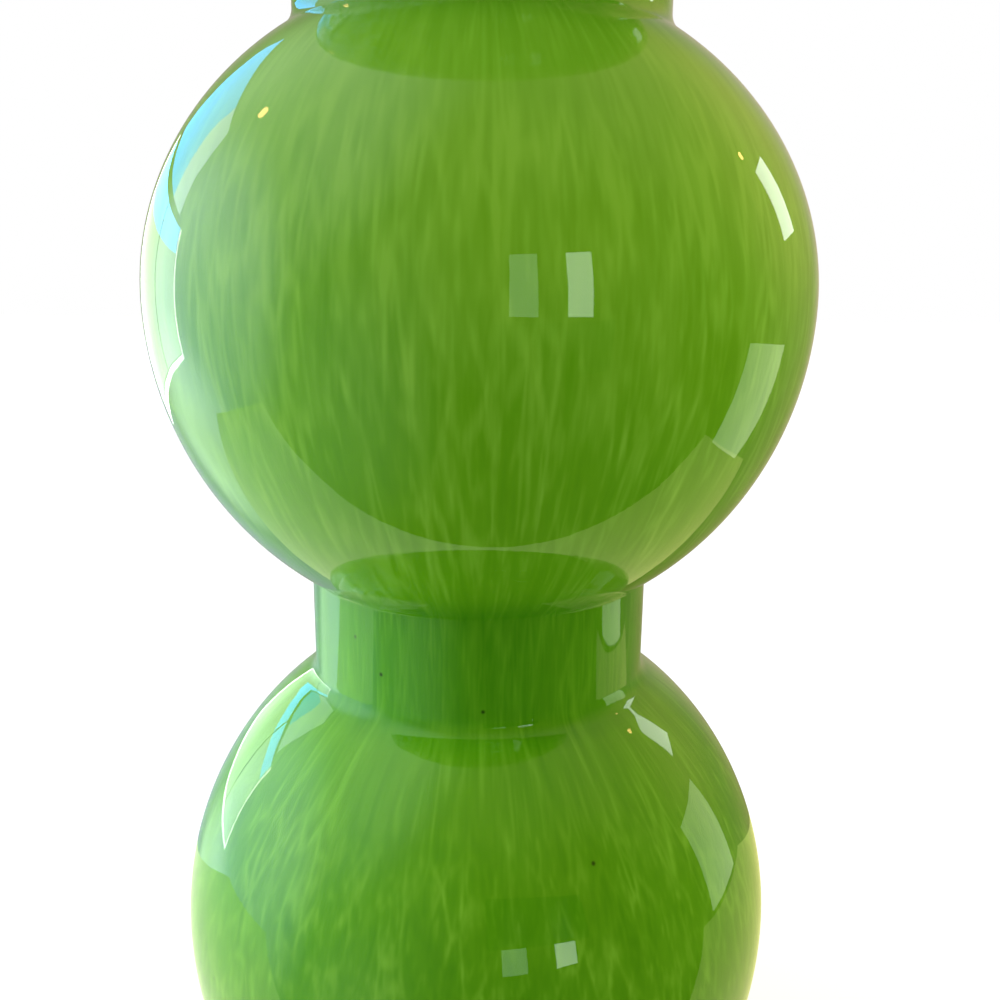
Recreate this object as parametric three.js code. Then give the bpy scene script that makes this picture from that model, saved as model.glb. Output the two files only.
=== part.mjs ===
// Triple gourd vase in cased glass. Millimetres, +Z up, origin at the centre of the foot.
// The vase is one mouth-blown wall of three fused layers: a clear casing outside, a streaked green colour
// layer under it and an opal lining inside. Each layer is a solid of revolution between two wall lines,
// and every wall line is the same gourd profile set in from the outer surface by a given depth.
import * as THREE from 'three';

// Bulbs: two half-ellipses that share an equator, with a semi-height above it (rise) and below it (drop)
const LOWER_BULB_RADIUS = 73.4;
const LOWER_BULB_RISE = 74;
const LOWER_BULB_DROP = 79;
const MIDDLE_BULB_RADIUS = 75;
const MIDDLE_BULB_RISE = 68;
const MIDDLE_BULB_DROP = 76.5;
const UPPER_BULB_RADIUS = 76.5;
const UPPER_BULB_RISE = 68;
const UPPER_BULB_DROP = 76.5;

// Waists between the bulbs, and the neck above them: straight collars tooled in while the glass was hot
const LOWER_WAIST_RADIUS = 40.4;
const LOWER_WAIST_LENGTH = 25.4;
const UPPER_WAIST_RADIUS = 41;
const UPPER_WAIST_LENGTH = 26;
const NECK_RADIUS = 41;
const NECK_LENGTH = 18;
const SHOULDER_FILLET = 5.5; // soft hollow where a shoulder runs up into its collar
const CREASE_FILLET = 1; // tight line that the jacks leave under a bulb

// Lip: the wall turns out through an arc and ends in a fire-polished half round
const FLARE_RADIUS = 16;
const FLARE_ANGLE = THREE.MathUtils.degToRad(34);

// Foot: a flat ground ring round a shallow polished kick-up
const FOOT_RADIUS = 47; // where the lower bulb would meet the table without its rounded heel
const FOOT_RING_INNER_RADIUS = 30;
const KICK_UP = 4;
const HEEL_FILLET = 5; // round of the heel outside
const INNER_HEEL_FILLET = 15; // round between wall and floor in the glass and inside the vase

// Layers from the outside in: thickness of the wall and of the base, where the clear glass gathers
const CASING_WALL = 2;
const CASING_BASE = 9;
const COLOUR_WALL = 1.2;
const COLOUR_BASE = 2;
const LINING_WALL = 1.4;
const LINING_BASE = 3;
const FUSION_GAP = 0.3; // the layers are fused, and their solids are kept this far apart

// Facets
const AROUND = 28;
const OUTSIDE_STEPS = { bulb: 6, fillet: 3, crease: 2, heel: 3, floor: 4, flare: 3 };
const FUSED_STEPS = { bulb: 3, fillet: 2, crease: 1, heel: 2, floor: 1, flare: 2 };
const INSIDE_STEPS = { bulb: 4, fillet: 2, crease: 1, heel: 2, floor: 2, flare: 3 };
const LIP_STEPS = 3;
const SOLVER_HALVINGS = 50;

const COLOURS = { casing: 0xf2faf0, colour: 0x63a817, lining: 0xeef4e2 };

const bulbs = [
  {
    radius: LOWER_BULB_RADIUS,
    rise: LOWER_BULB_RISE,
    drop: LOWER_BULB_DROP,
    collar: LOWER_WAIST_RADIUS,
    collarLength: LOWER_WAIST_LENGTH,
  },
  {
    radius: MIDDLE_BULB_RADIUS,
    rise: MIDDLE_BULB_RISE,
    drop: MIDDLE_BULB_DROP,
    collar: UPPER_WAIST_RADIUS,
    collarLength: UPPER_WAIST_LENGTH,
  },
  {
    radius: UPPER_BULB_RADIUS,
    rise: UPPER_BULB_RISE,
    drop: UPPER_BULB_DROP,
    collar: NECK_RADIUS,
    collarLength: NECK_LENGTH,
  },
];

const wall = CASING_WALL + COLOUR_WALL + LINING_WALL + 2 * FUSION_GAP;

// How far from its equator a half-ellipse comes down to the given radius
function reach(radius, height, atRadius) {
  return height * Math.sqrt(1 - (atRadius / radius) ** 2);
}

// Heights of the equators and collars, stacked up from the foot
function stackBulbs() {
  let level = 0;
  let entry = FOOT_RADIUS;
  for (const bulb of bulbs) {
    bulb.equator = level + reach(bulb.radius, bulb.drop, entry);
    bulb.collarBottom = bulb.equator + reach(bulb.radius, bulb.rise, bulb.collar);
    bulb.collarTop = bulb.collarBottom + bulb.collarLength;
    level = bulb.collarTop;
    entry = bulb.collar;
  }
}

// Points of an elliptical arc from one angle to another, either way round
function arc(x, z, radiusX, radiusZ, from, to, steps) {
  return new THREE.EllipseCurve(x, z, radiusX, radiusZ, from, to, to < from).getPoints(steps);
}

// Root of a function that falls from positive to negative between two values
function solve(falling, low, high) {
  for (let i = 0; i < SOLVER_HALVINGS; i += 1) {
    const middle = (low + high) / 2;
    if (falling(middle) > 0) low = middle;
    else high = middle;
  }
  return (low + high) / 2;
}

// A point on the quarter ellipse above the equator, moved along its outward normal
function beside(radius, height, angle, distance) {
  const normal = new THREE.Vector2(Math.cos(angle) / radius, Math.sin(angle) / height).normalize();
  const point = new THREE.Vector2(radius * Math.cos(angle), height * Math.sin(angle));
  return point.addScaledVector(normal, distance);
}

// The round hollow between a half-ellipse and a straight collar: where it leaves the bulb and its centre
function collarFillet(radius, height, collar, fillet) {
  const overhang = (angle) => beside(radius, height, angle, fillet).x - (collar + fillet);
  const angle = solve(overhang, 0, Math.PI / 2);
  const centre = beside(radius, height, angle, fillet);
  const edge = beside(radius, height, angle, 0);
  const turn = Math.atan2(edge.y - centre.y, edge.x - centre.x);
  return { angle, centre, turn };
}

// Upper half of a bulb, from its equator to the foot of the collar above it
function shoulder(bulb, depth, steps) {
  const radius = bulb.radius - depth;
  const rise = bulb.rise - depth;
  const fillet = SHOULDER_FILLET + depth;
  const { angle, centre, turn } = collarFillet(radius, rise, bulb.collar - depth, fillet);
  const dome = arc(0, bulb.equator, radius, rise, 0, angle, steps.bulb);
  const hollow = arc(centre.x, bulb.equator + centre.y, fillet, fillet, turn, -Math.PI, steps.fillet);
  return [...dome, ...hollow.slice(1)];
}

// Underside of a bulb, from the top of the collar below it to just short of the equator
function underside(bulb, collar, depth, steps) {
  const radius = bulb.radius - depth;
  const drop = bulb.drop - depth;
  const fillet = CREASE_FILLET + depth;
  const { angle, centre, turn } = collarFillet(radius, drop, collar - depth, fillet);
  const hollow = arc(centre.x, bulb.equator - centre.y, fillet, fillet, Math.PI, -turn, steps.crease);
  const bowl = arc(0, bulb.equator, radius, drop, -angle, 0, steps.bulb);
  return [...hollow, ...bowl.slice(1, -1)];
}

// Kick-up, foot ring, heel and underside of the lower bulb, from the axis to just short of the equator
function base(bulb, depth, level, heel, steps) {
  const radius = bulb.radius - depth;
  const drop = bulb.drop - depth;
  const clearance = (angle) => bulb.equator - level - heel + beside(radius, -drop, angle, -heel).y;
  const angle = solve(clearance, 0, Math.PI / 2);
  const centre = beside(radius, -drop, angle, -heel);
  const edge = beside(radius, -drop, angle, 0);
  const turn = Math.atan2(edge.y - centre.y, edge.x - centre.x);
  const domeRadius = (FOOT_RING_INNER_RADIUS ** 2 + KICK_UP ** 2) / (2 * KICK_UP);
  const domeEdge = Math.acos(FOOT_RING_INNER_RADIUS / domeRadius);
  const domeHeight = level + KICK_UP - domeRadius;
  const dome = arc(0, domeHeight, domeRadius, domeRadius, Math.PI / 2, domeEdge, steps.floor);
  dome[0].x = 0;
  const round = arc(centre.x, level + heel, heel, heel, -Math.PI / 2, turn, steps.heel);
  const bowl = arc(0, bulb.equator, radius, drop, -angle, 0, steps.bulb);
  return [...dome, ...round, ...bowl.slice(1, -1)];
}

// The turned-out end of the neck, which starts at the top of the collar
function flare(bulb, depth, steps) {
  const radius = FLARE_RADIUS + depth;
  return arc(bulb.collar + FLARE_RADIUS, bulb.collarTop, radius, radius, Math.PI, Math.PI - FLARE_ANGLE, steps);
}

// A line through the wall at a given depth under the outer surface, from the axis up to the flare's end
function wallLine(depth, level, heel, steps) {
  const points = base(bulbs[0], depth, level, heel, steps);
  bulbs.forEach((bulb, index) => {
    if (index > 0) points.push(...underside(bulb, bulbs[index - 1].collar, depth, steps));
    points.push(...shoulder(bulb, depth, steps));
  });
  points.push(...flare(bulbs.at(-1), depth, steps.flare));
  return points;
}

// The stretch of the half-round lip that one layer of the wall ends in
function lip(outerDepth, innerDepth) {
  const top = flare(bulbs.at(-1), wall / 2, 1)[1];
  const around = (depth) => Math.acos(1 - (2 * depth) / wall) - FLARE_ANGLE;
  return arc(top.x, top.y, wall / 2, wall / 2, around(outerDepth), around(innerDepth), LIP_STEPS);
}

// One layer of glass: out along its outer line, over its share of the lip and back along its inner line
function layer(name, colour, outer, inner, finish) {
  const lines = [outer, inner].map((line) => wallLine(line.depth, line.level, line.heel, line.steps));
  const section = [...lines[0], ...lip(outer.depth, inner.depth), ...lines[1].reverse()];
  const geometry = new THREE.LatheGeometry(withoutRepeats(section), AROUND);
  geometry.rotateX(Math.PI / 2);
  const material = new THREE.MeshStandardMaterial({ color: colour, metalness: 0, ...finish });
  const mesh = new THREE.Mesh(geometry, material);
  mesh.name = name;
  return mesh;
}

// Leaves out points that fall on the one before, as the lip does where a layer's edge is the wall's own
function withoutRepeats(points) {
  const least = 1e-3;
  return points.filter((point, index) => index === 0 || point.distanceTo(points[index - 1]) > least);
}

// The six lines that bound the layers, from the outer surface to the inside of the vase
function layerLines() {
  const strides = [
    { wall: 0, base: 0, heel: HEEL_FILLET, steps: OUTSIDE_STEPS },
    { wall: CASING_WALL, base: CASING_BASE, heel: INNER_HEEL_FILLET, steps: FUSED_STEPS },
    { wall: FUSION_GAP, base: FUSION_GAP, heel: INNER_HEEL_FILLET, steps: FUSED_STEPS },
    { wall: COLOUR_WALL, base: COLOUR_BASE, heel: INNER_HEEL_FILLET, steps: FUSED_STEPS },
    { wall: FUSION_GAP, base: FUSION_GAP, heel: INNER_HEEL_FILLET, steps: FUSED_STEPS },
    { wall: LINING_WALL, base: LINING_BASE, heel: INNER_HEEL_FILLET, steps: INSIDE_STEPS },
  ];
  let depth = 0;
  let level = 0;
  return strides.map((stride) => {
    depth += stride.wall;
    level += stride.base;
    return { depth, level, heel: stride.heel, steps: stride.steps };
  });
}

function gourdVase() {
  stackBulbs();
  const lines = layerLines();
  const vase = new THREE.Group();
  vase.name = 'triple_gourd_vase';
  const clear = { roughness: 0.03, transparent: true, opacity: 0.3 };
  vase.add(layer('clear_casing', COLOURS.casing, lines[0], lines[1], clear));
  vase.add(layer('colour_layer', COLOURS.colour, lines[2], lines[3], { roughness: 0.2 }));
  vase.add(layer('opal_lining', COLOURS.lining, lines[4], lines[5], { roughness: 0.15 }));
  return vase;
}

export default gourdVase();
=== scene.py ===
"""Looks of a triple gourd vase in cased green glass, in metres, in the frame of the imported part."""
import math
import random
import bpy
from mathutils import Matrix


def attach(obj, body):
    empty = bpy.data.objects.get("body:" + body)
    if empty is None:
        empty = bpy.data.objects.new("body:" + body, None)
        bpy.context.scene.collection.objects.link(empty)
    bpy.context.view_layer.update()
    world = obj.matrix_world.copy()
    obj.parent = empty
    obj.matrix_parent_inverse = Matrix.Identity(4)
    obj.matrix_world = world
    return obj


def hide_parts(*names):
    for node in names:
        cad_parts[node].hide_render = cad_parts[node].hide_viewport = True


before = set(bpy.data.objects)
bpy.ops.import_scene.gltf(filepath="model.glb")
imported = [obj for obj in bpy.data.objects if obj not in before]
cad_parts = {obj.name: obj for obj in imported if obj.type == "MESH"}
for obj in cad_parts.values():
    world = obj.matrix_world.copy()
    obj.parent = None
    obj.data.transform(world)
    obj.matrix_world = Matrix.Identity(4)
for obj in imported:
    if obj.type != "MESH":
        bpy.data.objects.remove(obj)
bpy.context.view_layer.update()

from types import SimpleNamespace

import bpy
from mathutils import Matrix, Vector

MM = 0.001

# Bulbs from the foot up: half-ellipses with a rise above and a drop below their equator, each with the
# straight collar that stands on it
BULBS = [
    SimpleNamespace(radius=73.4 * MM, rise=74 * MM, drop=79 * MM, collar=40.4 * MM, length=25.4 * MM),
    SimpleNamespace(radius=75 * MM, rise=68 * MM, drop=76.5 * MM, collar=41 * MM, length=26 * MM),
    SimpleNamespace(radius=76.5 * MM, rise=68 * MM, drop=76.5 * MM, collar=41 * MM, length=18 * MM),
]
MIDDLE_BULB = BULBS[1]
SHOULDER_FILLET = 5.5 * MM
CREASE_FILLET = 1 * MM
FLARE_RADIUS = 16 * MM
FLARE_ANGLE = math.radians(34)
FOOT_RADIUS = 47 * MM
FOOT_RING_INNER_RADIUS = 30 * MM
KICK_UP = 4 * MM

# Lines that bound the fused layers: depth under the outer surface, height of the floor, round of the heel
OUTSIDE = SimpleNamespace(depth=0, level=0, heel=5 * MM)
UNDER_CASING = SimpleNamespace(depth=2.15 * MM, level=9.15 * MM, heel=15 * MM)
UNDER_COLOUR = SimpleNamespace(depth=3.65 * MM, level=11.45 * MM, heel=15 * MM)
INSIDE = SimpleNamespace(depth=5.2 * MM, level=14.6 * MM, heel=15 * MM)
FUSED_OVERLAP = 0.04 * MM  # each layer reaches this far into the next, so that no air lies between them

# Facets: round the axis, along each stretch of a line through the wall, and along the lip
AROUND = 192
FINE = SimpleNamespace(bulb=30, fillet=8, crease=6, heel=8, floor=10, flare=10)
COARSE = SimpleNamespace(bulb=16, fillet=5, crease=4, heel=6, floor=6, flare=8)
LIP_STEPS = 8
SHARP_ANGLE = math.radians(32)
SAME_POINT = 1e-7  # points of a line that are closer than this are one point
HALVINGS = 60  # takes the search for a tangent down to rounding error

# Hand-blown waviness, the same in every layer: a few seeded ripples round and up the wall
RIPPLE_SEED = 11
RIPPLE_COUNT = 9
RIPPLE_DEPTH = 0.05 * MM
RIPPLE_MOST_TURNS = 6  # waves round the axis
RIPPLE_STEEPEST = 60  # radians of a wave in a metre of height
RIPPLE_FOOT_FADE = 25 * MM  # the ground foot stays flat


def reach(radius, height, at_radius):
    """How far from its equator a half-ellipse comes down to the given radius."""
    return height * math.sqrt(1 - (at_radius / radius) ** 2)


def stack_bulbs():
    """Heights of the equators and collars, from the foot up."""
    level = 0
    entry = FOOT_RADIUS
    for bulb in BULBS:
        bulb.equator = level + reach(bulb.radius, bulb.drop, entry)
        bulb.collar_bottom = bulb.equator + reach(bulb.radius, bulb.rise, bulb.collar)
        bulb.collar_top = bulb.collar_bottom + bulb.length
        level = bulb.collar_top
        entry = bulb.collar


def arc(x, z, radius_x, radius_z, start, end, steps):
    """Points of an elliptical arc from one angle to another."""
    angles = [start + (end - start) * step / steps for step in range(steps + 1)]
    return [(x + radius_x * math.cos(angle), z + radius_z * math.sin(angle)) for angle in angles]


def solve(falling, low, high):
    """Root of a function that falls from positive to negative between two values."""
    for _ in range(HALVINGS):
        middle = (low + high) / 2
        if falling(middle) > 0:
            low = middle
        else:
            high = middle
    return (low + high) / 2


def beside(radius, height, angle, distance):
    """A point on a quarter ellipse, moved along its outward normal."""
    normal = Vector((math.cos(angle) / radius, math.sin(angle) / height)).normalized()
    return Vector((radius * math.cos(angle), height * math.sin(angle))) + normal * distance


def collar_fillet(radius, height, collar, fillet):
    """The hollow between a half-ellipse and a collar: where it leaves the bulb, its centre and its turn."""

    def outside_collar(angle):
        return beside(radius, height, angle, fillet).x - (collar + fillet)

    angle = solve(outside_collar, 0, math.pi / 2)
    centre = beside(radius, height, angle, fillet)
    edge = beside(radius, height, angle, 0) - centre
    return angle, centre, math.atan2(edge.y, edge.x)


def shoulder(bulb, depth, steps):
    """Upper half of a bulb, from its equator to the foot of its collar."""
    radius = bulb.radius - depth
    rise = bulb.rise - depth
    fillet = SHOULDER_FILLET + depth
    angle, centre, turn = collar_fillet(radius, rise, bulb.collar - depth, fillet)
    dome = arc(0, bulb.equator, radius, rise, 0, angle, steps.bulb)
    hollow = arc(centre.x, bulb.equator + centre.y, fillet, fillet, turn, -math.pi, steps.fillet)
    return dome + hollow[1:]


def underside(bulb, collar, depth, steps):
    """Underside of a bulb, from the collar below it to just short of its equator."""
    radius = bulb.radius - depth
    drop = bulb.drop - depth
    fillet = CREASE_FILLET + depth
    angle, centre, turn = collar_fillet(radius, drop, collar - depth, fillet)
    hollow = arc(centre.x, bulb.equator - centre.y, fillet, fillet, math.pi, -turn, steps.crease)
    bowl = arc(0, bulb.equator, radius, drop, -angle, 0, steps.bulb)
    return hollow + bowl[1:-1]


def base(bulb, line, steps):
    """Kick-up, foot ring, heel and underside of the lowest bulb, from the axis to short of its equator."""
    radius = bulb.radius - line.depth
    drop = bulb.drop - line.depth
    heel = line.heel

    def over_foot(angle):
        return bulb.equator - line.level - heel + beside(radius, -drop, angle, -heel).y

    angle = solve(over_foot, 0, math.pi / 2)
    centre = beside(radius, -drop, angle, -heel)
    edge = beside(radius, -drop, angle, 0) - centre
    turn = math.atan2(edge.y, edge.x)
    dome_radius = (FOOT_RING_INNER_RADIUS**2 + KICK_UP**2) / (2 * KICK_UP)
    dome_edge = math.acos(FOOT_RING_INNER_RADIUS / dome_radius)
    dome_height = line.level + KICK_UP - dome_radius
    dome = arc(0, dome_height, dome_radius, dome_radius, math.pi / 2, dome_edge, steps.floor)
    heel_round = arc(centre.x, line.level + heel, heel, heel, -math.pi / 2, turn, steps.heel)
    bowl = arc(0, bulb.equator, radius, drop, -angle, 0, steps.bulb)
    return dome + heel_round + bowl[1:-1]


def flare(depth, steps):
    """The turned-out end of the neck, from the top of its collar."""
    neck = BULBS[-1]
    radius = FLARE_RADIUS + depth
    end = math.pi - FLARE_ANGLE
    return arc(neck.collar + FLARE_RADIUS, neck.collar_top, radius, radius, math.pi, end, steps)


def wall_line(line, steps):
    """A line through the wall, from the axis up to the end of the flare."""
    points = base(BULBS[0], line, steps)
    for below, bulb in zip([None] + BULBS, BULBS):
        if below:
            points += underside(bulb, below.collar, line.depth, steps)
        points += shoulder(bulb, line.depth, steps)
    return points + flare(line.depth, steps.flare)


def lip(outer, inner):
    """The stretch of the half-round lip in which one layer of the wall ends."""
    half = INSIDE.depth / 2
    centre = flare(half, 1)[1]

    def around(depth):
        return math.acos(1 - min(depth / half, 2)) - FLARE_ANGLE

    return arc(*centre, half, half, around(outer.depth), around(inner.depth), LIP_STEPS)


def deeper(line, distance):
    """The same line a little further into the wall."""
    return SimpleNamespace(depth=line.depth + distance, level=line.level + distance, heel=line.heel)


def make_ripples():
    """Seeded waves of the wall: turns round the axis, rate up it, phase and depth."""
    draw = random.Random(RIPPLE_SEED)
    waves = []
    for _ in range(RIPPLE_COUNT):
        turns = draw.randint(1, RIPPLE_MOST_TURNS)
        rate = draw.uniform(-RIPPLE_STEEPEST, RIPPLE_STEEPEST)
        phase = draw.uniform(0, 2 * math.pi)
        depth = RIPPLE_DEPTH * draw.uniform(1, 2) / math.sqrt(turns)
        waves.append((turns, rate, phase, depth))
    return waves


def ripple(waves, angle, height):
    """How far the wall stands out at an angle and a height."""
    fade = min(max(height / RIPPLE_FOOT_FADE, 0), 1)
    total = 0
    for turns, rate, phase, depth in waves:
        total += depth * math.sin(turns * angle + rate * height + phase)
    return fade * fade * total


def lathe(name, outer, inner, outer_steps, inner_steps):
    """One layer of glass as a closed mesh turned round the axis."""
    section = wall_line(outer, outer_steps) + lip(outer, inner) + wall_line(inner, inner_steps)[::-1]
    line = section[:1]
    for point in section[1:]:
        if math.dist(point, line[-1]) > SAME_POINT:
            line.append(point)
    line[0] = (0, line[0][1])
    line[-1] = (0, line[-1][1])
    waves = make_ripples()
    angles = [2 * math.pi * step / AROUND for step in range(AROUND)]
    vertices = [(0, 0, line[0][1]), (0, 0, line[-1][1])]
    for radius, height in line[1:-1]:
        for angle in angles:
            rippled = radius + ripple(waves, angle, height)
            vertices.append((rippled * math.cos(angle), rippled * math.sin(angle), height))
    rings = len(line) - 2

    def at(ring, step):
        return 2 + ring * AROUND + step % AROUND

    faces = []
    for step in range(AROUND):
        after = step + 1
        faces.append((0, at(0, after), at(0, step)))
        faces.append((1, at(rings - 1, step), at(rings - 1, after)))
        for ring in range(rings - 1):
            faces.append((at(ring, step), at(ring, after), at(ring + 1, after), at(ring + 1, step)))
    mesh = bpy.data.meshes.new(name)
    mesh.from_pydata(vertices, [], faces)
    mesh.shade_smooth()
    mesh.set_sharp_from_angle(angle=SHARP_ANGLE)
    piece = bpy.data.objects.new(name, mesh)
    bpy.context.scene.collection.objects.link(piece)
    return piece


def node(tree, kind, inputs=None, **settings):
    """A shader node with its settings, its plain inputs and its links."""
    made = tree.nodes.new(kind)
    for key, value in settings.items():
        setattr(made, key, value)
    for key, value in (inputs or {}).items():
        if isinstance(value, bpy.types.NodeSocket):
            tree.links.new(value, made.inputs[key])
        else:
            made.inputs[key].default_value = value
    return made


def maths(tree, operation, *values):
    """The result of one math node."""
    inputs = dict(enumerate(values))
    return node(tree, "ShaderNodeMath", inputs, operation=operation).outputs[0]


def vectors(tree, operation, *values):
    """The vector result of one vector math node."""
    inputs = dict(enumerate(values))
    return node(tree, "ShaderNodeVectorMath", inputs, operation=operation).outputs["Vector"]


def scaled(tree, vector, scale):
    """A vector times a plain number or a socket."""
    made = node(tree, "ShaderNodeVectorMath", {0: vector, "Scale": scale}, operation="SCALE")
    return made.outputs["Vector"]


def colour_vector(tree, colour):
    """A plain colour as a vector socket."""
    return node(tree, "ShaderNodeCombineXYZ", dict(zip("XYZ", colour))).outputs[0]


def smooth_range(tree, value, low, high, to_low=0.0, to_high=1.0):
    """A value mapped with soft ends from one range to another."""
    inputs = {"Value": value, "From Min": low, "From Max": high, "To Min": to_low, "To Max": to_high}
    return node(tree, "ShaderNodeMapRange", inputs, interpolation_type="SMOOTHSTEP").outputs["Result"]


# Sockets of a mix node that mixes colours, by number, because its other sockets have the same names
MIX_SHARE = 0
MIX_START = 6
MIX_END = 7
MIX_RESULT = 2


def blend(tree, share, start, end):
    """A mix of two colours, plain or from sockets."""
    inputs = {MIX_SHARE: share, MIX_START: start, MIX_END: end}
    return node(tree, "ShaderNodeMix", inputs, data_type="RGBA").outputs[MIX_RESULT]


def noise(tree, vector, size, detail=2.0, roughness=0.5):
    """Fractal noise with features of about the given size in metres."""
    inputs = {"Vector": vector, "Scale": 1 / size, "Detail": detail, "Roughness": roughness}
    return node(tree, "ShaderNodeTexNoise", inputs)


def new_material(name):
    """An empty node material with its output."""
    material = bpy.data.materials.new(name)
    material.use_nodes = True
    tree = material.node_tree
    tree.nodes.clear()
    output = node(tree, "ShaderNodeOutputMaterial")
    return material, tree, output


def object_place(tree):
    """Where a point lies in the frame of its piece."""
    return node(tree, "ShaderNodeTexCoord").outputs["Object"]


# Streaks in the colour, several times as tall as they are wide: the width of each kind round the wall, the
# middle value of its pattern, and how much the pattern pales or deepens the glass
STREAK_RADIUS = 75 * MM  # at this radius the streaks have their stated widths; they narrow with the wall
PATCHES = SimpleNamespace(width=15 * MM, middle=0.5, weight=0.26)
BANDS = SimpleNamespace(width=3.4 * MM, middle=0.5, weight=0.68)
STROKES = SimpleNamespace(width=1.7 * MM, middle=0.3, weight=0.15)
TONGUES = SimpleNamespace(width=4.4 * MM, middle=0.15, weight=0.28)
THREADS = SimpleNamespace(width=1 * MM, middle=0.5, weight=0.30)
PATCH_STRETCH = 2.5
STREAK_STRETCH = 5.5
THREAD_STRETCH = 8
BEND = 2 * MM  # the streaks wander within this width,
BEND_WIDTH = 7 * MM  # in waves of about this size
NOISE_MIDDLE = (0.5, 0.5, 0.5)
STROKE_LEVELS = (0.48, 0.76)  # noise rises into strokes between these levels
TONGUE_SEAM = 0.17  # how far the pale seam round a tongue reaches into it, as a share of its width
TONGUE_PATCH_WIDTH = 9 * MM  # tongues show in patches of this width,
TONGUE_PATCH_LEVELS = (0.36, 0.64)  # where noise rises over these levels
CALMER_ABOVE = (228 * MM, 258 * MM)  # between these heights the streaks get fainter upwards,
CALM_CONTRAST = 0.55  # down to this share
STRONGER_BELOW = (85 * MM, 120 * MM)  # between these heights they get stronger downwards,
STRONGER_BY = 0.4  # by this share
SHORTER_BELOW = 106 * MM  # under this height they are shorter,
SHORTER_RATE = 0.18  # because their pattern runs up the wall faster by this much

# Greens from deep to pale, and how far along them the glass is under and over the heights between which it
# pales upwards
DEEP_GREEN = (0.074, 0.238, 0.0028, 1)
MID_GREEN = (0.103, 0.287, 0.0062, 1)
PALE_GREEN = (0.185, 0.395, 0.0340, 1)
MID_GREEN_AT = 0.42
PALER_ABOVE = (175 * MM, 238 * MM)
PALENESS = (0.46, 0.80)

# Deeper greens: in the waists, within these radii, partly thicker colour and partly painted shade in their
# hollows, and more weakly in the lower bulb, under these heights, where the green gets deeper downwards
WAIST_GREEN = (0.022, 0.155, 0.0008, 1)
WAIST_PALE_GREEN = (0.075, 0.250, 0.0060, 1)
WAIST_RADII = (38 * MM, 50 * MM)
WAIST_SHARE = 0.85
DEEPER_BELOW = (110 * MM, 155 * MM)
DEEPER_SHARE = 0.45

SPECK_GREEN = (0.012, 0.045, 0.002, 1)
SPECK_SPACING = 24 * MM
SPECK_RADII = (0.012, 0.03)  # where a speck is full and where it ends, as shares of the spacing
COLOUR_ROUGHNESS = 0.6


def streak_place(tree, place, stretch):
    """Coordinates that run round the axis and, drawn out, up the wall."""
    flat = vectors(tree, "MULTIPLY", place, (1, 1, 0))
    around = scaled(tree, vectors(tree, "NORMALIZE", flat), STREAK_RADIUS)
    upward = vectors(tree, "MULTIPLY", place, (0, 0, 1 / stretch))
    return vectors(tree, "ADD", around, upward)


def shortened(tree, vector, height):
    """Streak coordinates that run faster up the lower bulb, where the streaks are shorter."""
    under = maths(tree, "MINIMUM", maths(tree, "SUBTRACT", height, SHORTER_BELOW), 0)
    extra = node(tree, "ShaderNodeCombineXYZ", {"Z": maths(tree, "MULTIPLY", under, SHORTER_RATE)})
    return vectors(tree, "ADD", vector, extra.outputs[0])


def bent(tree, vector, size, amount):
    """Coordinates pushed about by soft noise."""
    cloud = noise(tree, vector, size, 1).outputs["Color"]
    push = vectors(tree, "SUBTRACT", cloud, NOISE_MIDDLE)
    return vectors(tree, "ADD", vector, scaled(tree, push, amount))


def seams(tree, vector, size, width):
    """Soft lines between cells of about the given size."""
    inputs = {"Vector": vector, "Scale": 1 / size}
    cells = node(tree, "ShaderNodeTexVoronoi", inputs, feature="DISTANCE_TO_EDGE")
    return smooth_range(tree, cells.outputs["Distance"], 0, width, 1, 0)


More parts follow.
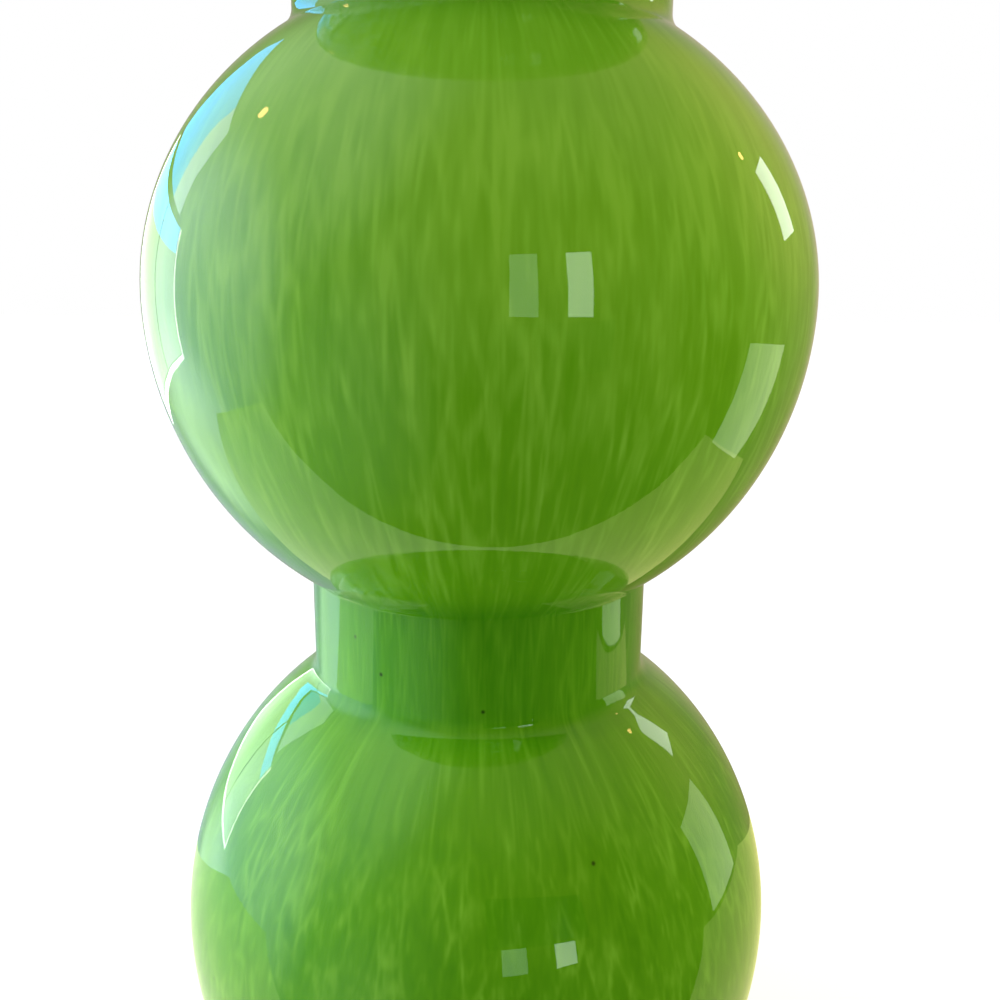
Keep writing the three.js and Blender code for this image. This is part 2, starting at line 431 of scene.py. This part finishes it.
def green_glass():
    """Streaked green: drawn-out bands, pale seams round darker tongues, and fine threads."""
    material, tree, output = new_material("green_glass")
    place = object_place(tree)
    height = node(tree, "ShaderNodeSeparateXYZ", {"Vector": place}).outputs["Z"]
    wide_place = streak_place(tree, place, PATCH_STRETCH)
    tall_place = shortened(tree, streak_place(tree, place, STREAK_STRETCH), height)
    long_place = bent(tree, tall_place, BEND_WIDTH, BEND)
    thin_place = shortened(tree, streak_place(tree, place, THREAD_STRETCH), height)
    patches = noise(tree, wide_place, PATCHES.width, 1).outputs["Fac"]
    bands = noise(tree, long_place, BANDS.width).outputs["Fac"]
    dabs = noise(tree, long_place, STROKES.width, 1).outputs["Fac"]
    strokes = smooth_range(tree, dabs, *STROKE_LEVELS)
    cover = noise(tree, wide_place, TONGUE_PATCH_WIDTH, 1).outputs["Fac"]
    shown = smooth_range(tree, cover, *TONGUE_PATCH_LEVELS)
    tongues = maths(tree, "MULTIPLY", seams(tree, long_place, TONGUES.width, TONGUE_SEAM), shown)
    threads = noise(tree, thin_place, THREADS.width).outputs["Fac"]
    streaks = 0
    kinds = (patches, PATCHES), (bands, BANDS), (strokes, STROKES), (tongues, TONGUES), (threads, THREADS)
    for pattern, kind in kinds:
        swing = maths(tree, "SUBTRACT", pattern, kind.middle)
        streaks = maths(tree, "MULTIPLY_ADD", swing, kind.weight, streaks)
    calm = smooth_range(tree, height, *CALMER_ABOVE, 1, CALM_CONTRAST)
    strong = smooth_range(tree, height, *STRONGER_BELOW, STRONGER_BY, 0)
    contrast = maths(tree, "ADD", calm, strong)
    plain = smooth_range(tree, height, *PALER_ABOVE, *PALENESS)
    pale = maths(tree, "MULTIPLY_ADD", streaks, contrast, plain)
    ramp = node(tree, "ShaderNodeValToRGB", {"Fac": pale})
    stops = ramp.color_ramp.elements
    stops[0].position, stops[0].color = 0.0, DEEP_GREEN
    stops[1].position, stops[1].color = 1.0, PALE_GREEN
    stops.new(MID_GREEN_AT).color = MID_GREEN
    flat = vectors(tree, "MULTIPLY", place, (1, 1, 0))
    girth = node(tree, "ShaderNodeVectorMath", {0: flat}, operation="LENGTH").outputs["Value"]
    # Painted shade: the waists' hollows get a deeper green, on top of their thicker colour; the lower bulb
    # deepens downwards
    waist = smooth_range(tree, girth, *WAIST_RADII, WAIST_SHARE, 0)
    low = smooth_range(tree, height, *DEEPER_BELOW, DEEPER_SHARE, 0)
    waist_shade_and_low_deepening = maths(tree, "MAXIMUM", waist, low)
    waist_green = blend(tree, pale, WAIST_GREEN, WAIST_PALE_GREEN)
    streaked = blend(tree, waist_shade_and_low_deepening, ramp.outputs["Color"], waist_green)
    cells = node(tree, "ShaderNodeTexVoronoi", {"Vector": place, "Scale": 1 / SPECK_SPACING})
    specks = smooth_range(tree, cells.outputs["Distance"], *SPECK_RADII, 1, 0)
    colour = blend(tree, specks, streaked, SPECK_GREEN)
    glass = node(tree, "ShaderNodeBsdfPrincipled", {"Base Color": colour, "Roughness": COLOUR_ROUGHNESS})
    glass.inputs["Specular IOR Level"].default_value = 0
    tree.links.new(glass.outputs["BSDF"], output.inputs["Surface"])
    return material


# Clear casing: tint, a polish that varies with a faint haze, the ground foot ring, and slow waves of the
# surface
CASING_TINT = (0.97, 1, 0.96, 1)
CASING_IOR = 1.5
CASING_ROUGHNESS = (0.012, 0.035)
CASING_HAZE_WIDTH = 9 * MM
CASING_HAZE_LEVELS = (0.35, 0.8)
GROUND_BELOW = (0.1 * MM, 0.6 * MM)  # between these heights the ground foot ring turns into polished glass
GROUND_ROUGHNESS = 0.4
WAVE_WIDTH = 16 * MM
WAVE_STRETCH = 2.5
WAVE_DEPTH = 1 * MM
WAVE_STRENGTH = 0.12


def clear_glass():
    """Clear fire-polished casing with a ground foot ring, which lets lamps through to the colour."""
    material, tree, output = new_material("clear_glass")
    place = object_place(tree)
    height = node(tree, "ShaderNodeSeparateXYZ", {"Vector": place}).outputs["Z"]
    ground = smooth_range(tree, height, *GROUND_BELOW, 1, 0)
    haze = noise(tree, place, CASING_HAZE_WIDTH, 4, 0.6).outputs["Fac"]
    polish = smooth_range(tree, haze, *CASING_HAZE_LEVELS, *CASING_ROUGHNESS)
    roughness = maths(tree, "MULTIPLY_ADD", ground, GROUND_ROUGHNESS, polish)
    wave = noise(tree, streak_place(tree, place, WAVE_STRETCH), WAVE_WIDTH, 1.5).outputs["Fac"]
    inputs = {"Height": wave, "Strength": WAVE_STRENGTH, "Distance": WAVE_DEPTH}
    bump = node(tree, "ShaderNodeBump", inputs)
    inputs = {"Roughness": roughness, "Normal": bump.outputs["Normal"]}
    glass = node(tree, "ShaderNodeBsdfPrincipled", inputs)
    glass.inputs["Base Color"].default_value = CASING_TINT
    glass.inputs["Transmission Weight"].default_value = 1
    glass.inputs["IOR"].default_value = CASING_IOR
    rays = node(tree, "ShaderNodeLightPath").outputs
    lamps = maths(tree, "MAXIMUM", rays["Is Shadow Ray"], rays["Is Diffuse Ray"])
    clear = node(tree, "ShaderNodeBsdfTransparent")
    inputs = {0: lamps, 1: glass.outputs["BSDF"], 2: clear.outputs["BSDF"]}
    mix = node(tree, "ShaderNodeMixShader", inputs)
    tree.links.new(mix.outputs["Shader"], output.inputs["Surface"])
    return material


# Opal lining: two whites that drift into each other, and a polish that varies with a faint haze
OPAL_GREENISH = (0.70, 0.78, 0.60, 1)
OPAL_WHITE = (0.82, 0.86, 0.74, 1)
OPAL_DRIFT_WIDTH = 14 * MM
OPAL_DRIFT_STRETCH = 4
OPAL_DRIFT_LEVELS = (0.3, 0.7)
OPAL_ROUGHNESS = (0.06, 0.16)
OPAL_HAZE_WIDTH = 6 * MM
OPAL_HAZE_LEVELS = (0.3, 0.8)


def opal_glass():
    """Opal lining: milky white with a faint green cast that drifts over the surface."""
    material, tree, output = new_material("opal_glass")
    place = object_place(tree)
    drift_place = streak_place(tree, place, OPAL_DRIFT_STRETCH)
    drift = noise(tree, drift_place, OPAL_DRIFT_WIDTH, 3).outputs["Fac"]
    ramp = node(tree, "ShaderNodeValToRGB", {"Fac": drift})
    stops = ramp.color_ramp.elements
    for stop, level, colour in zip(stops, OPAL_DRIFT_LEVELS, (OPAL_GREENISH, OPAL_WHITE)):
        stop.position = level
        stop.color = colour
    haze = noise(tree, place, OPAL_HAZE_WIDTH, 3).outputs["Fac"]
    polish = smooth_range(tree, haze, *OPAL_HAZE_LEVELS, *OPAL_ROUGHNESS)
    inputs = {"Base Color": ramp.outputs["Color"], "Roughness": polish}
    glass = node(tree, "ShaderNodeBsdfPrincipled", inputs)
    tree.links.new(glass.outputs["BSDF"], output.inputs["Surface"])
    return material


def build_vase():
    """The three fused layers, each in place of its solid."""
    stack_bulbs()
    layers = [
        ("casing", "clear_casing", "clear_glass", clear_glass, OUTSIDE, UNDER_CASING, FINE, COARSE),
        ("colour", "colour_layer", "green_glass", green_glass, UNDER_CASING, UNDER_COLOUR, COARSE, COARSE),
        ("lining", "opal_lining", "opal_glass", opal_glass, UNDER_COLOUR, INSIDE, COARSE, FINE),
    ]
    for name, solid, slot, finish, outer, inner, outer_steps, inner_steps in layers:
        overlap = FUSED_OVERLAP if inner is not INSIDE else 0
        piece = lathe(name, outer, deeper(inner, overlap), outer_steps, inner_steps)
        piece.data.materials.append(finish())
        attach(piece, "root")
        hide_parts(solid)


FLOOR_SIZE = 6
FLOOR_COLOUR = (0.62, 0.62, 0.78, 1)
FLOOR_WHITE_SHARE = 0.4  # how much of the floor shows as plain white, under the shadow that stays
FLOOR_WHITENESS = 1.9


def build_floor():
    """A plain pale floor, white to the camera apart from the vase's shadow."""
    mesh = bpy.data.meshes.new("floor")
    half = FLOOR_SIZE / 2
    corners = [(-half, -half, 0), (half, -half, 0), (half, half, 0), (-half, half, 0)]
    mesh.from_pydata(corners, [], [(0, 1, 2, 3)])
    floor = bpy.data.objects.new("floor", mesh)
    bpy.context.scene.collection.objects.link(floor)
    material, tree, output = new_material("floor")
    matt = node(tree, "ShaderNodeBsdfDiffuse", {"Color": FLOOR_COLOUR})
    white = node(tree, "ShaderNodeEmission", {"Strength": FLOOR_WHITENESS})
    camera = node(tree, "ShaderNodeLightPath").outputs["Is Camera Ray"]
    share = maths(tree, "MULTIPLY", camera, FLOOR_WHITE_SHARE)
    inputs = {0: share, 1: matt.outputs["BSDF"], 2: white.outputs["Emission"]}
    mix = node(tree, "ShaderNodeMixShader", inputs)
    tree.links.new(mix.outputs["Shader"], output.inputs["Surface"])
    mesh.materials.append(material)
    floor.visible_glossy = False


# A pale shelf that shows only in the gloss of the glass: how far it reaches to the left and right, to the
# front and back of the axis, its turn, and its brightness at the left and right
SHELF_LEFT = -470 * MM
SHELF_RIGHT = 360 * MM
SHELF_FRONT = -85 * MM
SHELF_BACK = 128 * MM
SHELF_TURN = math.radians(5)
SHELF_LIFT = 1 * MM
SHELF_LEFT_GLOW = (1.32, 1.60, 1.48)
SHELF_RIGHT_GLOW = (1.05, 0.98, 0.35)
SHELF_FADE = (-400 * MM, 200 * MM)  # between these places from left to right the brightness changes


def gloss_card(name, corners):
    """A flat card that shows only in the gloss, and the node tree and output of its empty material."""
    mesh = bpy.data.meshes.new(name)
    mesh.from_pydata(corners, [], [(0, 1, 2, 3)])
    card = bpy.data.objects.new(name, mesh)
    bpy.context.scene.collection.objects.link(card)
    material, tree, output = new_material(name)
    material.cycles.emission_sampling = "NONE"
    mesh.materials.append(material)
    card.visible_camera = False
    card.visible_diffuse = False
    card.visible_transmission = False
    card.visible_shadow = False
    return card, tree, output


def build_shelf():
    """A shelf under the vase that only reflections see."""
    ends = SHELF_LEFT, SHELF_RIGHT
    corners = [(x, SHELF_FRONT, 0) for x in ends] + [(x, SHELF_BACK, 0) for x in reversed(ends)]
    shelf, tree, output = gloss_card("shelf", corners)
    shelf.location.z = SHELF_LIFT
    shelf.rotation_euler.z = SHELF_TURN
    across = node(tree, "ShaderNodeSeparateXYZ", {"Vector": object_place(tree)}).outputs["X"]
    share = smooth_range(tree, across, *SHELF_FADE)
    start = scaled(tree, colour_vector(tree, SHELF_LEFT_GLOW), maths(tree, "SUBTRACT", 1, share))
    colour = vectors(tree, "ADD", start, scaled(tree, colour_vector(tree, SHELF_RIGHT_GLOW), share))
    glow = node(tree, "ShaderNodeEmission", {"Color": colour})
    tree.links.new(glow.outputs["Emission"], output.inputs["Surface"])


# A flag in front of the vase that keeps the upper half of the far softboxes out of the lower bulb's gloss:
# how far in front of the axis it stands, its left and right edges, its lower and upper edges, and its glow
FLAG_FRONT = 270 * MM
FLAG_SIDES = (15 * MM, 200 * MM)
FLAG_HEIGHTS = (116 * MM, 194 * MM)
FLAG_GLOW = (0.12, 0.15, 0.02, 1)


def build_flag():
    """A dim upright card in front that only reflections see."""
    left, right = FLAG_SIDES
    low, high = FLAG_HEIGHTS
    front = -FLAG_FRONT
    corners = [(left, front, low), (right, front, low), (right, front, high), (left, front, high)]
    _, tree, output = gloss_card("flag", corners)
    glow = node(tree, "ShaderNodeEmission", {"Color": FLAG_GLOW})
    tree.links.new(glow.outputs["Emission"], output.inputs["Surface"])


def direction(azimuth, elevation):
    """A direction seen from the vase: azimuth 0 is the camera's side and 90 is to its right, in degrees."""
    turn = math.radians(azimuth)
    lift = math.radians(elevation)
    flat = math.cos(lift)
    return Vector((math.sin(turn) * flat, -math.cos(turn) * flat, math.sin(lift)))


# Soft light of the studio, all round at a distance: azimuth, elevation, where the glow is full and where it
# ends in degrees from its middle, and its colour
AMBIENT = (0.14, 0.16, 0.03)
GLOWS = [
    (0, 90, 15, 65, (0.38, 0.35, 0.17)),
    (-98, 2, 12, 40, (0.75, 0.78, 1.80)),
    (-95, 40, 15, 55, (0.85, 0.98, 1.00)),
    (-132, -25, 15, 40, (0.38, 0.46, 0.75)),
    (-122, -24, 5, 22, (1.08, 1.35, 1.15)),
    (-65, -25, 5, 50, (0.18, 0.26, 0.30)),
    (-70, 5, 10, 75, (0.10, 0.04, 0.26)),
    (10, 35, 5, 50, (0.27, 0.33, 0.02)),
    (75, 10, 5, 60, (0.27, 0.27, 0.01)),
    (105, 40, 10, 45, (0.42, 0.32, 0.12)),
    (122, 24, 8, 34, (0.30, 0.20, 0.06)),
    (135, 0, 10, 50, (0.30, 0.22, 0.13)),
    (180, 10, 10, 45, (0.28, 0.21, 0.28)),
]


def build_world():
    """Soft light from above and from the sides, a darker room behind the camera, white to the camera."""
    world = bpy.data.worlds.new("studio")
    bpy.context.scene.world = world
    world.use_nodes = True
    tree = world.node_tree
    tree.nodes.clear()
    toward = node(tree, "ShaderNodeTexCoord").outputs["Generated"]
    light = colour_vector(tree, AMBIENT)
    for azimuth, elevation, full, end, colour in GLOWS:
        middle = direction(azimuth, elevation)
        facing = node(tree, "ShaderNodeVectorMath", {0: toward, 1: middle}, operation="DOT_PRODUCT")
        limits = math.cos(math.radians(end)), math.cos(math.radians(full))
        glow = smooth_range(tree, facing.outputs["Value"], *limits)
        light = vectors(tree, "ADD", light, scaled(tree, colour_vector(tree, colour), glow))
    studio = node(tree, "ShaderNodeBackground", {"Color": light, "Strength": 1})
    white = node(tree, "ShaderNodeBackground", {"Color": (1, 1, 1, 1), "Strength": 1})
    rays = node(tree, "ShaderNodeLightPath").outputs
    seen = maths(tree, "MAXIMUM", rays["Is Camera Ray"], rays["Is Transmission Ray"])
    inputs = {0: seen, 1: studio.outputs["Background"], 2: white.outputs["Background"]}
    mix = node(tree, "ShaderNodeMixShader", inputs)
    output = node(tree, "ShaderNodeOutputWorld")
    tree.links.new(mix.outputs["Shader"], output.inputs["Surface"])


# Softboxes: azimuth and distance of the upright plane that they stand in, which faces the axis, their left
# and right edges on it, the heights of their lower and upper edges over the middle bulb's equator, and
# their light. The first nine make a tall window of two sashes, the lower one with white bars round it.
WINDOW = (-141.5, 2.5)
BAR_LIGHT = (5.0, 5.0, 5.0)
SOFTBOXES = [
    ("window_low_left", *WINDOW, -0.375, 0.535, -0.55, 0.33, (1.6, 2.1, 1.6)),
    ("window_low_right", *WINDOW, 0.565, 1.275, -0.55, 0.33, (1.6, 2.0, 1.7)),
    ("window_sky_left", *WINDOW, -0.375, 0.535, 0.33, 0.58, (0.9, 3.2, 6.3)),
    ("window_sky_right", *WINDOW, 0.565, 1.275, 0.33, 0.58, (0.9, 3.2, 6.3)),
    ("window_high_left", *WINDOW, -0.375, 0.66, 0.66, 1.70, (0.2, 1.3, 3.2)),
    ("window_high_right", *WINDOW, 0.66, 1.12, 0.66, 1.70, (1.5, 1.7, 2.2)),
    ("window_bar_bottom", *WINDOW, -0.44, 1.34, -0.61, -0.56, BAR_LIGHT),
    ("window_bar_right", *WINDOW, 1.29, 1.34, -0.56, 0.58, BAR_LIGHT),
    ("window_bar_left", *WINDOW, -0.44, -0.39, -0.56, 0.58, BAR_LIGHT),
    ("right_strip", 117.5, 0.85, -0.065, 0.065, 0.16, 0.40, (3.7, 4.0, 3.8)),
    ("right_panel", 96, 0.324, -0.057, 0.057, -0.195, -0.05, (1.5, 1.75, 1.15)),
    ("far_left", 13.5, 5, -0.40, 0.40, -0.25, 1.68, (1.4, 1.9, 1.4)),
    ("far_right", 31, 5, -0.35, 0.35, -0.25, 1.68, (4.4, 5.2, 4.2)),
]
# Fill lights for the colour under the gloss, which doesn't mirror them: azimuth, elevation and distance
# from the point of the axis that they face, the height of that point, width and height of the light,
# brightness, and the angle of the beam. The last one has a narrow beam that keeps it on the lower bulb.
FILLS = [
    (-82, 0, 0.9, 0.95, 0.80, 0.80, 2.15, 180),
    (82, 0, 1.2, 0.212, 0.80, 0.80, 2.2, 180),
    (-88, 0, 0.30, 0.06, 0.30, 0.12, 5.4, 180),
    (-86, 25, 0.50, 0.11, 0.12, 0.12, 1.0, 26),
]
FILL_COLOUR = (0.90, 1.0, 0.85)
# Small warm lamps: azimuth, elevation, radius
LAMPS = [(-106, 42, 0.023), (110, 30, 0.014), (-128, 57, 0.013), (131, 54, 0.011)]
LAMP_DISTANCE = 0.9
LAMP_COLOUR = (1.0, 0.55, 0.18)
LAMP_BRIGHTNESS = 12


def add_area_light(name, place, target, shape, width, height, colour, brightness):
    """A rectangular or round area light of the given brightness, unseen by the camera."""
    light = bpy.data.lights.new(name, "AREA")
    light.shape = shape
    light.size = width
    light.size_y = height
    area = width * height if shape == "RECTANGLE" else math.pi * width * width / 4
    light.energy = math.pi * area * brightness
    light.color = colour
    lamp = bpy.data.objects.new(name, light)
    lamp.location = place
    lamp.rotation_euler = (target - place).to_track_quat("-Z", "Y").to_euler()
    lamp.visible_camera = False
    bpy.context.scene.collection.objects.link(lamp)
    return lamp


def build_lights():
    """Upright softboxes and fills that face the axis, and small lamps that face the middle bulb."""
    level = MIDDLE_BULB.equator
    for name, azimuth, distance, left, right, low, high, light in SOFTBOXES:
        ahead = direction(azimuth, 0)
        across = direction(azimuth + 90, 0)
        target = across * ((left + right) / 2) + Vector((0, 0, level + (low + high) / 2))
        place = target + ahead * distance
        brightness = max(light)
        colour = [part / brightness for part in light]
        add_area_light(name, place, target, "RECTANGLE", right - left, high - low, colour, brightness)
    for number, fill in enumerate(FILLS, 1):
        azimuth, elevation, distance, over_floor, width, height, brightness, beam = fill
        target = Vector((0, 0, over_floor))
        place = target + direction(azimuth, elevation) * distance
        name = f"fill_{number}"
        lamp = add_area_light(name, place, target, "RECTANGLE", width, height, FILL_COLOUR, brightness)
        lamp.visible_glossy = False
        lamp.data.spread = math.radians(beam)
    middle = Vector((0, 0, level))
    for number, (azimuth, elevation, radius) in enumerate(LAMPS, 1):
        place = middle + direction(azimuth, elevation) * LAMP_DISTANCE
        size = 2 * radius
        name = f"lamp_{number}"
        add_area_light(name, place, middle, "DISK", size, size, LAMP_COLOUR, LAMP_BRIGHTNESS)


# Camera, fitted to the outline of the vase: focal length in pixels of a 1000-pixel frame, where it aims
# below the middle bulb's equator, how far off it stands, and its angles
FRAME_PIXELS = 1000
FOCAL_PIXELS = 1050
SENSOR = 36
AIM_BELOW_EQUATOR = 48.5 * MM
CAMERA_DISTANCE = 255.3 * MM
CAMERA_PITCH = math.radians(13.72)
CAMERA_YAW = math.radians(1.099)
CAMERA_ROLL = math.radians(0.334)
CAMERA_NEAR = 10 * MM


def build_camera():
    """The photograph's viewpoint, close in front of the vase and a little above its lower waist."""
    ahead = Vector((0, math.cos(CAMERA_PITCH), -math.sin(CAMERA_PITCH)))
    up = Vector((0, math.sin(CAMERA_PITCH), math.cos(CAMERA_PITCH)))
    right = Vector((1, 0, 0))
    aim = Vector((0, 0, MIDDLE_BULB.equator - AIM_BELOW_EQUATOR))
    place = aim - ahead * CAMERA_DISTANCE
    turned = ahead * math.cos(CAMERA_YAW) + right * math.sin(CAMERA_YAW)
    right = right * math.cos(CAMERA_YAW) - ahead * math.sin(CAMERA_YAW)
    level = right * math.cos(CAMERA_ROLL) + up * math.sin(CAMERA_ROLL)
    up = up * math.cos(CAMERA_ROLL) - right * math.sin(CAMERA_ROLL)
    data = bpy.data.cameras.new("camera")
    data.sensor_width = SENSOR
    data.lens = FOCAL_PIXELS * SENSOR / FRAME_PIXELS
    data.clip_start = CAMERA_NEAR
    camera = bpy.data.objects.new("camera", data)
    axes = Matrix((level, up, -turned)).transposed().to_4x4()
    camera.matrix_world = Matrix.Translation(place) @ axes
    bpy.context.scene.collection.objects.link(camera)
    bpy.context.scene.camera = camera


bpy.context.scene.view_settings.view_transform = "Standard"
build_vase()
build_floor()
build_shelf()
build_flag()
build_world()
build_lights()
build_camera()
